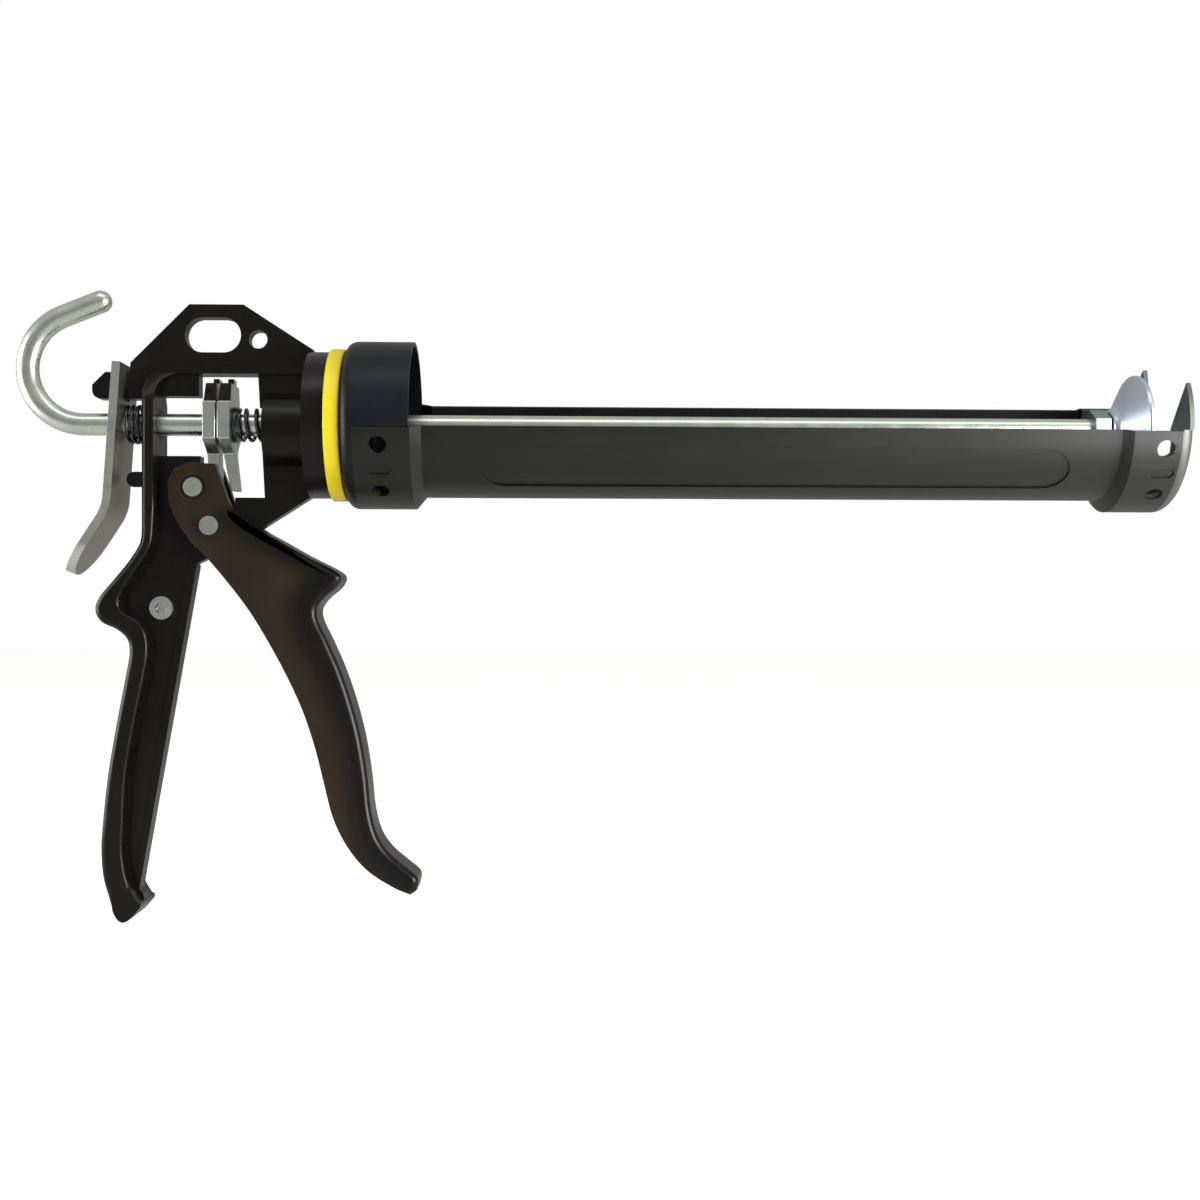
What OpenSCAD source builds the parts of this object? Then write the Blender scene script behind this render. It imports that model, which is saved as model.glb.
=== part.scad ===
// Cartridge caulking gun with a turning half-shell barrel.
// +X runs forward along the plunger rod, +Z is up, and the origin lies on the rod axis
// at the inner rear wall of the barrel cup, where the cartridge seats.

/* [Barrel] */
// Length from the cup's inner rear wall to the front cap's inner face
cradle_length = 295.7; // [230:0.1:330]
// Outer radius of the half shell between its two joggles
shell_outer_r = 26; // [25:0.1:27]
// Sheet thickness of the half shell
shell_wall = 1.2; // [0.8:0.1:1.5]
// Outer radius of the shell ends, the cup and the front cap
collar_outer_r = 30.2; // [29.5:0.1:32]
// Arc that the half shell covers, in degrees
shell_arc = 198; // [184:1:210]
// How far the barrel is turned toward the right-hand side at rest, in degrees
barrel_roll = 14.6; // [-30:0.1:30]
// Depth of the rear cup from its inner wall to its front rim
cup_depth = 23; // [20:0.5:30]
// Sheet thickness of the cup
cup_wall = 1.5; // [1.2:0.1:2]
// Outer corner radius of the cup and the front cap
corner_r = 4; // [3:0.1:5]
// Length of the front cap along the barrel
cap_depth = 20; // [18:0.5:26]
// Sheet thickness of the front cap
cap_wall = 1.6; // [1.2:0.1:2]
// Length of the rear joggle, where the shell steps out to its rear end
rear_joggle_length = 3.6; // [3:0.1:6]
// Length of the front joggle
front_joggle_length = 2.6; // [2:0.1:6]
// Distance from each end wall to where the shell's lapping end stops
lap_inset = 3; // [2.5:0.1:4.5]

/* [Barrel pressings] */
// Diameter of the pilot holes through the lapped sheets
pilot_hole_d = 6.2; // [4:0.1:7]
// Distance of the rear pilot holes from the cup's inner wall
pilot_inset_rear = 11.8; // [9:0.1:14]
// Distance of the front pilot holes from the front cap's inner face
pilot_inset_front = 8.5; // [7.5:0.1:12]
// Angle from the bottom of the shell to the upper pilot hole
upper_pilot_angle = 86; // [80:1:88]
// Angle from the bottom of the shell to the side bead
bead_angle = 64; // [60:1:68]
// Angle from the bottom of the shell to the clinches
clinch_angle = 68; // [64:1:70]
// Angle from the bottom of the shell to the lower pilot hole
lower_pilot_angle = 49; // [40:1:52]
// Length of the clinch pressing
clinch_length = 9; // [7:0.1:11]
// Height of the clinch pressing
clinch_height = 3.8; // [3:0.1:5]
// Depth that the clinch and the side bead are pressed in
press_depth = 0.6; // [0.3:0.05:0.7]
// Height of the long side bead
bead_height = 17.4; // [10:0.1:18]
// Distance of the bead's rear end from the cup's inner wall
bead_inset_rear = 47; // [38:0.1:70]
// Distance of the bead's front end from the front cap's inner face
bead_inset_front = 39.8; // [36:0.1:70]

/* [Nozzle slot] */
// Radius of the round opening for the nozzle's base
nozzle_hole_r = 12.5; // [9:0.1:14]
// How far that opening's centre lies below the rod axis
nozzle_hole_drop = 4; // [0:0.1:6]
// Half width of the slot at the level of the rod axis
slot_half_low = 9.7; // [8:0.1:12]
// Half width of the slot one cap radius above the rod axis
slot_half_high = 26; // [18:0.1:28]
// Radius of the flat horns that stand above the shell on each side of the slot
horn_r = 28.6; // [26:0.1:30]

/* [Spigot] */
// Radius of the threaded spigot that the barrel turns on
spigot_r = 12; // [10:0.1:14]
// Length of the spigot past the cup's inner rear wall
spigot_reach = 8; // [7.5:0.1:12]
// Radius of the casting's flange behind the friction ring
flange_r = 26.4; // [24:0.1:28]
// Thickness of that flange
flange_thick = 7.7; // [6:0.1:10]
// Outer radius of the yellow friction ring
ring_outer_r = 27.5; // [26:0.1:29]
// Width of the friction ring along the barrel
ring_width = 5.4; // [4:0.1:7]
// Radius of the washer that the cup is held by
spigot_washer_r = 18; // [17:0.1:22]
// Thickness of that washer
spigot_washer_thick = 1.5; // [1:0.1:2]
// Width across the flats of the thin spigot nut
spigot_nut_flats = 34; // [30:0.5:36]
// Thickness of the spigot nut
spigot_nut_thick = 4.8; // [4:0.1:5.2]

/* [Plunger] */
// Diameter of the plunger rod
rod_d = 8; // [7:0.1:9]
// Mean radius of the pull hook
hook_r = 20.2; // [18:0.1:26]
// How far the hook's arc turns, in degrees
hook_sweep = 158; // [120:1:165]
// Length of the hook's straight end
hook_tip_length = 14.5; // [8:0.1:16]
// Where the hook's bend starts behind the origin
hook_start = 96.9; // [96:0.1:110]
// Gap between the front cap's inner face and the piston's rim at rest
piston_gap = 8.7; // [1:0.1:20]
// Outer radius of the dished piston plate
piston_r = 20; // [18:0.1:22]
// Depth of the dish, from its rim to the back of its hub
piston_depth = 10.5; // [9:0.1:12]
// Length of the straight rim round the dish
piston_rim = 1.8; // [1.2:0.1:2.4]
// Radius of the hub at the back of the dish
piston_hub_r = 7.4; // [7:0.1:8]
// How far the hub stands out behind the cone
piston_hub_rise = 2.6; // [2:0.1:3.4]
// Sheet thickness of the piston plate
piston_wall = 1.4; // [1:0.1:1.8]
// Width across the flats of the piston nuts
piston_nut_flats = 13; // [12:0.1:14]
// Thickness of the nut behind the piston
piston_nut_thick = 6; // [4:0.1:7]
// Thickness of the thin nut in front of the piston
piston_lock_thick = 3.4; // [3:0.1:4]
// Diameter of the rod's threaded end
rod_thread_d = 6; // [5:0.1:6.4]
// How far the rod's threaded end stands past the front nut
thread_spare = 1; // [0.5:0.1:1.4]
// Radius of the washer in front of the piston
piston_washer_r = 9; // [8:0.1:11]
// Thickness of the washer in front of the piston
piston_washer_thick = 1.2; // [1:0.1:1.6]

/* [Frame] */
// Thickness of the casting's web
web_thick = 6; // [5:0.1:6.6]
// Width of the rear post and of the rear rim of the grip
rim_width = 20.4; // [16:0.1:24]
// Width of the thickened band above the window
band_width = 9.6; // [8:0.1:12]
// Where the rear face of the rear post lies behind the origin
post_back = 74; // [73.6:0.1:76]
// Thickness of the rear post
post_thick = 4.4; // [4:0.1:5]
// Outer radius of the arch between the rear post and the band
arch_r = 12; // [10:0.1:14]
// Height of the frame's top edge above the rod axis
top_height = 43.2; // [42:0.1:50]
// Length of the hanging slot
hang_slot_length = 20; // [14:0.1:21]
// Height of the hanging slot
hang_slot_height = 12.6; // [8:0.1:14]
// Height of the hanging slot's centre above the rod axis
hang_slot_level = 32.2; // [31:0.1:34]
// Distance of the hanging slot's centre behind the origin
hang_slot_back = 50.1; // [48:0.1:54]
// Diameter of the hanging hole
hang_hole_d = 6.6; // [4:0.1:7.5]
// Distance of the hanging hole behind the origin
hang_hole_back = 33.9; // [33.5:0.1:34.5]
// Height of the hanging hole above the rod axis
hang_hole_level = 30.7; // [29:0.1:31]
// Radius of the boss round the drive spring
boss_r = 13.3; // [12:0.1:14]
// How far the boss's axis lies below the rod axis
boss_drop = 2; // [0:0.1:3]
// Where the boss's rear face lies behind the origin
boss_back = 31; // [29:0.1:32.5]
// Depth of the spring's counterbore in the boss
spring_pocket_depth = 12; // [8:0.1:13]
// Length of the stop peg behind the rear post
peg_length = 7.6; // [5:0.1:8]
// Diameter of the stop peg
peg_d = 5.6; // [4:0.1:7]
// Distance of the stop peg below the rod axis
peg_drop = 19.8; // [18:0.1:24]
// Diameter of the peg's shank in the post
peg_shank_d = 3.6; // [3:0.1:3.8]
// How deep the shank reaches into the post
peg_shank_depth = 3.8; // [3:0.1:3.8]
// Height of the window's top edge above the rod axis
window_top = 18; // [17.5:0.1:19]
// Thickness of the band above the window
band_thick = 4.4; // [3.6:0.1:5]
// How far the window's front edge lies behind the boss's rear face at the rod
window_boss_gap = 2.9; // [2:0.1:3.4]
// How much farther forward the window's front edge is at the bottom
window_lean = 2.5; // [0:0.1:3]
// How far the window reaches below the rod axis
window_drop = 26.4; // [25.6:0.1:27]
// Distance of the drive pocket's rear edge behind the origin
pocket_back = 64; // [63:0.1:66]
// Distance of the drive pocket's front edge behind the origin
pocket_front = 42; // [40:0.1:44]
// Casting left between the drive pocket and the pivot pin
pocket_skin = 4.6; // [4:0.1:6]
// How far the ledge behind the drive plates lies below the rod axis
ledge_drop = 11.5; // [9.5:0.1:13]
// Thickness of that ledge
ledge_thick = 4; // [1.5:0.1:4.4]
// Gap between the drive plates and the ledge
ledge_gap = 2.1; // [1:0.1:4]
// Gap between the drive plates and the stop above them
plate_stop_gap = 2.6; // [1:0.1:4]
// Height of that stop's lower edge above the rod axis
plate_stop_level = 10; // [9:0.1:13]
// Thickness of the lip along the grip's front edge
lip_thick = 6.8; // [6.8:0.1:7]
// How far the grip's toe lies below the rod axis
grip_drop = 178; // [168:0.5:190]

/* [Release lug] */
// Distance of the face behind the release plate's front, behind the origin
lug_face = 80.4; // [79.6:0.1:81.6]
// Distance of the lug's rear end behind the origin
lug_back = 93.2; // [92:0.1:96]
// Height of the lug's top above the rod axis
lug_top = 18.6; // [18:0.1:20]
// Height of the lug's underside above the rod axis
lug_low = 9; // [7:0.1:11]
// Width of the lug
lug_width = 6; // [5:0.1:7]
// How far the lug's top is cut away at its rear corner
lug_slope = 4.6; // [3:0.1:5]
// Radius of its lower rear corner
lug_round = 3; // [1:0.1:3.4]

/* [Grip screw] */
// Distance of the grip screw behind the origin
grip_screw_back = 68; // [67:0.1:70]
// Distance of the grip screw below the rod axis
grip_screw_drop = 66.2; // [62:0.1:70]
// Diameter of the grip screw's shank
grip_screw_d = 4; // [3:0.1:5]
// Diameter of its round head
grip_head_d = 8.4; // [7:0.1:9]
// Thickness of the head
grip_head_thick = 2; // [1.4:0.1:2.6]
// Width across the corners of the hexagonal socket
grip_socket_d = 4.2; // [3:0.1:5]
// Width across the flats of the grip nut
grip_nut_flats = 8; // [7:0.1:9]
// Thickness of the grip nut
grip_nut_thick = 3; // [2.4:0.1:4]

/* [Trigger] */
// Distance of the trigger's pivot pin behind the origin
pivot_back = 50.4; // [50:0.1:51]
// Distance of the pivot pin below the rod axis
pivot_drop = 36.7; // [36:0.1:38]
// How far the trigger's tip lies below the pivot pin
trigger_drop = 132.3; // [124:0.1:142]
// How far the drive pin lies behind the pivot pin
drive_pin_behind = 6; // [5.4:0.1:6.6]
// How far the drive pin lies above the pivot pin
drive_pin_above = 13.8; // [13:0.1:14.6]
// Gap between the trigger's two side walls
trigger_gap = 7.6; // [7.5:0.1:8.4]
// Thickness of each side wall of the trigger
trigger_wall = 3.2; // [2.5:0.1:4]
// Width of the trigger's front rim
trigger_rim_width = 20; // [17:0.1:24]
// Radius of the trigger's head round the drive pin
head_r = 8.8; // [7.6:0.1:9.4]
// Thickness of the trigger's front rim
trigger_rim_thick = 4; // [3:0.1:6]
// Diameter of the two trigger pins
pin_d = 5.4; // [4.5:0.1:5.8]
// Diameter of the pins' heads
pin_head_d = 6.8; // [6.2:0.1:8]
// Thickness of the pins' heads
pin_head_thick = 0.9; // [0.6:0.1:1.2]
// Diameter of the recess round each end of the drive pin
pin_recess_d = 9.8; // [9:0.1:11]
// Depth of that recess
pin_recess_depth = 0.8; // [0.4:0.1:1]
// Diameter of the hardened drive roller
roller_d = 10; // [8:0.1:10.4]

/* [Drive plates] */
// Thickness of each drive plate
drive_plate_thick = 4.6; // [3.6:0.1:4.8]
// Gap between the two drive plates
drive_plate_gap = 0.6; // [0.3:0.1:1]
// Width of the drive plates where the rod passes
drive_plate_width = 20; // [18:0.1:22]
// Width of the drive plates above their step
drive_plate_top_width = 16.6; // [12:0.1:17]
// Where the rear drive plate's back face lies behind the origin
drive_plate_back = 52.4; // [52:0.1:53]
// Height of the drive plates' shoulder above the rod axis
drive_plate_top = 14.4; // [11:0.1:15]
// How far the tails reach below the rod axis
drive_plate_tail = 24; // [23:0.1:27]
// Width of the tails, which run between the trigger's side walls
tail_width = 6.6; // [5:0.1:6.8]
// Depth of the plates' wide part below the rod axis
plate_shoulder = 5.6; // [5:0.1:8]
// Height of the plates' wide part above the rod axis
plate_step = 7.4; // [6:0.1:9]
// How much farther forward the front plate's tail leans
tail_spread = 2.3; // [0:0.1:2.6]
// Width of the small nub on top of the plates
plate_nub_width = 5.2; // [3:0.1:7]
// Thickness of that nub
plate_nub_thick = 2.2; // [1.6:0.1:3]
// Height of that nub
plate_nub_height = 2; // [1:0.1:2.4]
// Clearance of the drive plates' bores round the rod
plate_bore_clearance = 0.3; // [0.3:0.05:0.5]
// Outer diameter of the drive spring
drive_spring_d = 12.4; // [11.8:0.1:13]
// Wire diameter of the drive spring
drive_wire_d = 1.4; // [1:0.1:1.6]
// Turns of the drive spring
drive_spring_turns = 6.5; // [5:0.5:7]
// Thickness of the washer between the plates and the spring
spring_washer_thick = 1; // [0.8:0.1:1.4]

/* [Release plate] */
// Thickness of the release plate
release_thick = 3; // [2.5:0.1:3.4]
// Width of the release plate
release_width = 24.6; // [18:0.1:26]
// Lean of the release plate at rest, in degrees
release_lean = 3.8; // [3:0.1:5]
// Further bend of the thumb end, in degrees
release_bend = 29; // [16:1:32]
// Inner radius of that bend
release_bend_r = 15; // [6:0.5:30]
// Length of the release plate from its pivot to its bend
release_upper = 50; // [48:0.5:54]
// Length of the thumb end past the bend
release_lower = 27.5; // [22:0.5:32]
// Height of the release plate's top above its pivot
release_top = 2.4; // [1.4:0.1:4]
// Gap above and below the lug in the plate's slot
slot_gap = 0.7; // [0.5:0.1:1.2]
// Outer diameter of the release spring
release_spring_d = 14.4; // [12.6:0.1:15]
// Wire diameter of the release spring
release_wire_d = 1.5; // [1.2:0.1:1.6]
// Turns of the release spring
release_spring_turns = 3; // [2.2:0.1:3.1]

/* [Fits] */
// Radial clearance of the running fits
running = 0.05; // [0.02:0.01:0.1]
// Gap between pieces that move past each other
side_gap = 0.4; // [0.3:0.05:0.5]
// Wall of the rod bushes
bush_wall = 2; // [1:0.1:2.5]

/* [Hidden] */
$fn = 64;

// A small overlap that makes cuts run past a face
past = 1;

// Barrel places, worked out from the cradle
cap_face = cradle_length + cap_wall;
shell_start = lap_inset;
shell_end = cradle_length - lap_inset;
lap_inner_r = collar_outer_r - shell_wall;
rear_joggle = cup_depth;
front_joggle = cradle_length - cap_depth;
// The shell's stepped-out ends are trimmed level with the rim of its middle
rim_level = shell_outer_r * sin(shell_arc / 2 - 90) + running;
lap_arc = 180 + 2 * asin(rim_level / collar_outer_r);
open_arc = 360 - lap_arc;
pilot_places = [pilot_inset_rear, cradle_length - pilot_inset_front];

// Spigot places, from the cup's rear wall backward and forward
cup_back = -cup_wall;
ring_front = cup_back - side_gap;
flange_front = ring_front - ring_width;
flange_back = flange_front - flange_thick;
washer_back = side_gap;
spigot_nut_back = washer_back + spigot_washer_thick;

// Rod places
rod_r = rod_d / 2;
bush_bore_r = rod_r + running;
bush_outer_r = bush_bore_r + bush_wall;
spring_seat = -boss_back + spring_pocket_depth;
piston_front = cradle_length - piston_gap;
piston_back = piston_front - piston_depth;
rod_shoulder = piston_back - piston_nut_thick - side_gap;
piston_seat = piston_back + piston_hub_rise + piston_wall;
piston_nut_back = piston_seat + piston_washer_thick + side_gap;
rod_end = piston_nut_back + piston_lock_thick + thread_spare;

// Window in the frame
window_left = -post_back + post_thick;
pocket_floor = -pivot_drop + pin_head_d / 2 + pocket_skin;
plate_stop_end = -drive_plate_back - plate_stop_gap;
ledge_end = -drive_plate_back - ledge_gap;
window_front = -boss_back - window_boss_gap;

// Drive plates and trigger
drive_front_back = -drive_plate_back + drive_plate_thick + drive_plate_gap;
drive_front_face = drive_front_back + drive_plate_thick;
spring_washer_back = drive_front_face + 0.1;
drive_spring_back = spring_washer_back + spring_washer_thick;
trigger_half = trigger_gap / 2 + trigger_wall;
drive_pin_back = pivot_back + drive_pin_behind;
drive_pin_drop = pivot_drop - drive_pin_above;
pivot_reach = trigger_half + side_gap;
drive_reach = trigger_half - pin_recess_depth;
// The plates' tails lean forward to just clear the roller
tail_lean = drive_plate_back - drive_pin_back + roller_d / 2 + side_gap;

// The arch at the top of the rear post
arch_level = window_top - arch_r + band_thick;

// Release plate: it hangs from the top of the frame's lug, leaning back down to the rod
release_pivot = [-lug_face - side_gap, 0, lug_top];
release_front_at_rod = release_pivot[0] - lug_top * tan(release_lean);
release_spring_back = release_front_at_rod + release_spring_d / 2 * tan(release_lean) + side_gap / 2;

// ---------- helpers ----------

// A flat shape drawn in X and Z, with its thickness centred on the XZ plane
module upright(thick) {
    rotate([90, 0, 0]) linear_extrude(thick, center = true) children();
}

// A shape turned round the X axis: the profile is drawn as [radius, place along X]
module turned(arc = 360) {
    rotate([0, 90, 0]) rotate_extrude(angle = arc, start = arc == 360 ? 0 : -arc / 2, $fn = 128) children();
}

// A cylinder along X from one place to another
module along_x(r, from, to) {
    translate([from, 0, 0]) rotate([0, 90, 0]) cylinder(r = r, h = to - from);
}

// A cylinder along Y, centred on the XZ plane
module across_y(r, wide, x, z) {
    translate([x, 0, z]) rotate([90, 0, 0]) cylinder(r = r, h = wide, center = true);
}

// A tube along X
module tube_x(outer_r, inner_r, from, to) {
    difference() {
        along_x(outer_r, from, to);
        along_x(inner_r, from - past, to + past);
    }
}

// A hexagonal nut along X with a round bore
module nut_x(flats, bore_r, from, to) {
    difference() {
        translate([from, 0, 0]) rotate([0, 90, 0]) cylinder(d = flats / cos(30), h = to - from, $fn = 6);
        along_x(bore_r, from - past, to + past);
    }
}

// Two circles and the band between them
module stadium(length, height) {
    square([length - height, height], center = true);
    for (side = [-1, 1]) translate([side * (length - height) / 2, 0]) circle(d = height);
}

// One point of a smooth curve through p1 and p2
function curve_point(p0, p1, p2, p3, t) =
    0.5 * (2 * p1 + (p2 - p0) * t + (2 * p0 - 5 * p1 + 4 * p2 - p3) * t * t
    + (3 * p1 - p0 - 3 * p2 + p3) * t * t * t);

// A smooth open curve through all the given points
function smooth(points, steps = 4) = [
    for (i = [0:len(points) - 2], s = [0:steps - 1])
        curve_point(points[max(i - 1, 0)], points[i], points[i + 1],
            points[min(i + 2, len(points) - 1)], s / steps),
    points[len(points) - 1]
];

// Points along an arc
function arc(centre, r, from, to, steps = 8) = [
    for (i = [0:steps])
        let (a = from + (to - from) * i / steps)
        centre + r * [cos(a), sin(a)]
];

// The same points in the opposite order
function reversed(points) = [for (i = [len(points) - 1:-1:0]) points[i]];

// A coil of round wire along X as a closed tube; its end turns lie flat against their seats
module coil(outer_d, wire_d, from, to, turns) {
    sides = 8;
    per_turn = 20;
    rings = ceil(turns * per_turn);
    mean_r = (outer_d - wire_d) / 2;
    flat = 0.75;
    free = turns - 2 * flat;
    function rise(t) = (t < flat ? 0 : t > turns - flat ? 1 : (t - flat) / free);
    function place(t) = from + wire_d / 2 + wire_d * min(t, flat) / flat * 0.9
        + wire_d * max(t - turns + flat, 0) / flat * 0.9
        + (to - from - wire_d * 2.8) * rise(t);
    points = [
        for (i = [0:rings], j = [0:sides - 1])
            let (t = i * turns / rings, a = 360 * t, b = 360 * j / sides, r = mean_r + wire_d / 2 * cos(b))
            [place(t) + wire_d / 2 * sin(b), r * sin(a), r * cos(a)]
    ];
    faces = [
        [for (j = [0:sides - 1]) j],
        [for (j = [sides - 1:-1:0]) rings * sides + j],
        for (i = [0:rings - 1], j = [0:sides - 1])
            let (k = (j + 1) % sides)
            [i * sides + j, (i + 1) * sides + j, (i + 1) * sides + k, i * sides + k]
    ];
    polyhedron(points, faces, convexity = 10);
}

// ---------- barrel ----------

// Holes and clinches are placed by their angle from the bottom of the shell, on both sides
module round_the_side(angle, x) {
    for (side = [-1, 1]) rotate([side * angle, 0, 0]) translate([x, 0, 0]) rotate([180, 0, 0]) children();
}

module pilot_holes() {
    for (x = pilot_places, angle = [upper_pilot_angle, lower_pilot_angle])
        round_the_side(angle, x) rotate([0, 0, 45]) cylinder(d = pilot_hole_d, h = collar_outer_r + past);
}

// A stadium pressed into a round wall of outer radius r
module pressing(length, height, r) {
    intersection() {
        linear_extrude(r + past) stadium(length, height);
        tube_x(r + past, r - press_depth, -length, length);
    }
}

// The shell's section, outer line first, with its two joggles
module shell_section() {
    outer = [
        [collar_outer_r, shell_start], [collar_outer_r, rear_joggle],
        [shell_outer_r, rear_joggle + rear_joggle_length],
        [shell_outer_r, front_joggle - front_joggle_length],
        [collar_outer_r, front_joggle], [collar_outer_r, shell_end]
    ];
    inner = [for (p = reversed(outer)) [p[0] - shell_wall, p[1]]];
    polygon(concat(outer, inner));
}

module barrel_shell() {
    color("#4a4b48") rotate([barrel_roll, 0, 0]) difference() {
        turned(shell_arc) shell_section();
        translate([0, -collar_outer_r - past, rim_level])
            cube([cradle_length, 2 * (collar_outer_r + past), collar_outer_r]);
        pilot_holes();
        round_the_side(bead_angle, (bead_inset_rear + cradle_length - bead_inset_front) / 2)
            pressing(cradle_length - bead_inset_rear - bead_inset_front, bead_height, shell_outer_r);
        for (x = pilot_places)
            round_the_side(clinch_angle, x) pressing(clinch_length, clinch_height, collar_outer_r);
    }
}

// The rounded end that the cup and the front cap share, from the axis out to a side wall.
// Its inner face lies at the given place, and it opens forward (way = 1) or backward (way = -1).
module end_section(wall, place, way, side_wall, side_length) {
    inner_r = corner_r - wall;
    side_inner_r = collar_outer_r - side_wall;
    section = concat(
        [[0, -wall]],
        arc([collar_outer_r - corner_r, corner_r - wall], corner_r, -90, 0),
        [[collar_outer_r, side_length], [side_inner_r, side_length]],
        arc([side_inner_r - inner_r, inner_r], inner_r, 0, -90, 5),
        [[0, 0]]
    );
    polygon([for (p = section) [p[0], place + way * p[1]]]);
}

module barrel_cup() {
    edge = 1;
    color("#2c2f33") rotate([barrel_roll, 0, 0]) difference() {
        turned() end_section(cup_wall, 0, 1, shell_wall + cup_wall, cup_depth - 0.5);
        // The shell laps round the lower wall
        turned(lap_arc + edge) translate([lap_inner_r, lap_inset]) square([shell_wall + past, cup_depth]);
        // Above the shell the wall is one sheet thick, flush with the shell's end
        rotate([180, 0, 0]) turned(open_arc - 2 * edge) translate([lap_inner_r - cup_wall - past, lap_inset])
            square([shell_wall + past, cup_depth]);
        along_x(spigot_r + running, cup_back - past, past);
        pilot_holes();
    }
}

// The nozzle slot: a round opening with sloping sides up to the rim
module nozzle_slot() {
    translate([0, -nozzle_hole_drop]) circle(r = nozzle_hole_r, $fn = 96);
    slope = (slot_half_high - slot_half_low) / collar_outer_r;
    high = collar_outer_r + past;
    polygon([
        [-slot_half_low, 0], [slot_half_low, 0],
        [slot_half_low + slope * high, high], [-slot_half_low - slope * high, high]
    ]);
}

module front_cap() {
    lap = 2;
    // Drawing the sheet round the corner leaves the side a hair thinner than the end
    side_wall = cap_wall - 0.05;
    side_start = front_joggle + side_gap;
    flat_r = collar_outer_r - corner_r - side_gap;
    inner_r = flat_r - 2;
    color("#5c5e5a") rotate([barrel_roll, 0, 0]) difference() {
        union() {
            // The end is flat, with a horn on each side of the slot
            along_x(flat_r, cradle_length, cap_face);
            rotate([180, 0, 0]) turned(open_arc) translate([inner_r, cradle_length])
                square([horn_r - inner_r, cap_wall]);
            // Round the shell it turns into the side through a rounded corner
            turned(lap_arc + lap) intersection() {
                end_section(cap_wall, cradle_length, -1, shell_wall + cap_wall, lap_inset);
                translate([inner_r, 0]) square([collar_outer_r, 2 * cradle_length]);
            }
            // The side wall is open at the top, where the cartridge drops in
            turned(lap_arc) translate([lap_inner_r - side_wall, side_start])
                square([side_wall, cradle_length - lap_inset + 0.5 - side_start]);
        }
        translate([cradle_length - lap_inset - past, 0, 0]) rotate([90, 0, 90])
            linear_extrude(lap_inset + cap_wall + 2 * past) nozzle_slot();
        pilot_holes();
    }
}

// ---------- frame ----------

// The outlines below are drawn with the toe at this drop; the part of them below the given level
// is stretched to the drop that is wanted
drawn_drop = 178;
grip_level = -80;
function stretched(points, level, drawn, wanted) = [
    for (p = points) p[1] > level ? p : [p[0], level + (p[1] - level) * (wanted + level) / (drawn + level)]
];
function grip_points(points) = stretched(points, grip_level, drawn_drop, grip_drop);

// The outline behind the rear post and the grip, from the top down and round the toe
function rear_outline() = concat(
    [[-post_back, arch_level]],
    smooth([
        [-post_back, -37], [-post_back - 0.6, -43], [-78.5, -49.5], [-84.2, -56.6], [-88.9, -62.4],
        [-90.3, -67], [-88.2, -71.2], [-82.6, -74], [-79, -77.4], [-78.2, -82.4], [-79.4, -90],
        [-82.4, -106], [-85.6, -125], [-87.6, -144], [-88, -153], [-87.1, -162.8], [-84.1, -172.4],
        [-82.9, -175.2], [-81.8, -177], [-80.2, -drawn_drop], [-78.4, -177.6], [-76.8, -176.3],
        [-74.8, -174], [-73.7, -172.6], [-73.6, -171.4]
    ])
);

// The front side of the rear rim, from the top down
function rim_outline() = concat(
    [[window_left, arch_level]],
    smooth([
        [window_left, -37], [-70.4, -44], [-74.6, -51.4], [-79, -58], [-81.6, -63.4], [-80.6, -67.2],
        [-75.4, -70.4], [-72.2, -75], [-71.4, -82], [-72.8, -91], [-75.8, -106], [-79, -125],
        [-80, -144], [-80.2, -153], [-79.2, -160.5], [-77.7, -165.4], [-76, -168.8], [-74.7, -170.8]
    ])
);

// The grip's front edge is straight down to the toe
grip_front_top = [-55.6, -51];
grip_front_low = [-75.8, -167.5];

// The web ends inside the rear rim and inside the grip's front lip
module web_outline() {
    inside = 1.2;
    polygon(concat(
        [
            [-lug_face, lug_low], [-lug_face + 0.8, 22], [-58.6, top_height], [-39.2, top_height],
            [flange_back + past, 27], [flange_back + past, -25.6], [-32, -37.2], [-44, -44.4],
            grip_front_top + [-0.6, 0.5], grip_points([grip_front_low + [-inside, inside]])[0]
        ],
        grip_points(reversed([for (p = rim_outline()) if (p[1] > grip_front_low[1] + 2) p - [inside, 0]])),
        [[window_left - inside, lug_low]]
    ));
}

module window_outline() {
    polygon([
        [window_left, -ledge_drop], [window_left, plate_stop_level], [plate_stop_end, plate_stop_level],
        [plate_stop_end, window_top], [window_front, window_top], [window_front + window_lean, -window_drop],
        [-pocket_front, -window_drop], [-pocket_front, pocket_floor], [-pocket_back, pocket_floor],
        [-pocket_back, -ledge_drop - ledge_thick], [ledge_end, -ledge_drop - ledge_thick],
        [ledge_end, -ledge_drop]
    ]);
}

// The wide rim that runs down the rear post and the back of the grip, with its arch at the top
module rear_rim() {
    intersection() {
        upright(rim_width) union() {
            polygon(grip_points(concat(rear_outline(), reversed(rim_outline()))));
            translate([-post_back + arch_r, arch_level]) intersection() {
                difference() {
                    circle(r = arch_r);
                    circle(r = arch_r - post_thick);
                }
                translate([-arch_r - past, -0.01]) square(arch_r + past);
            }
        }
        // It narrows to the band's width over the arch
        rotate([90, 0, 90]) translate([0, 0, -post_back - 2 * arch_r]) linear_extrude(5 * arch_r) polygon([
            [-rim_width / 2, -200], [rim_width / 2, -200], [rim_width / 2, arch_level - 3],
            [band_width / 2, window_top], [band_width / 2, top_height], [-band_width / 2, top_height],
            [-band_width / 2, window_top], [-rim_width / 2, arch_level - 3]
        ]);
    }
}

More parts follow.
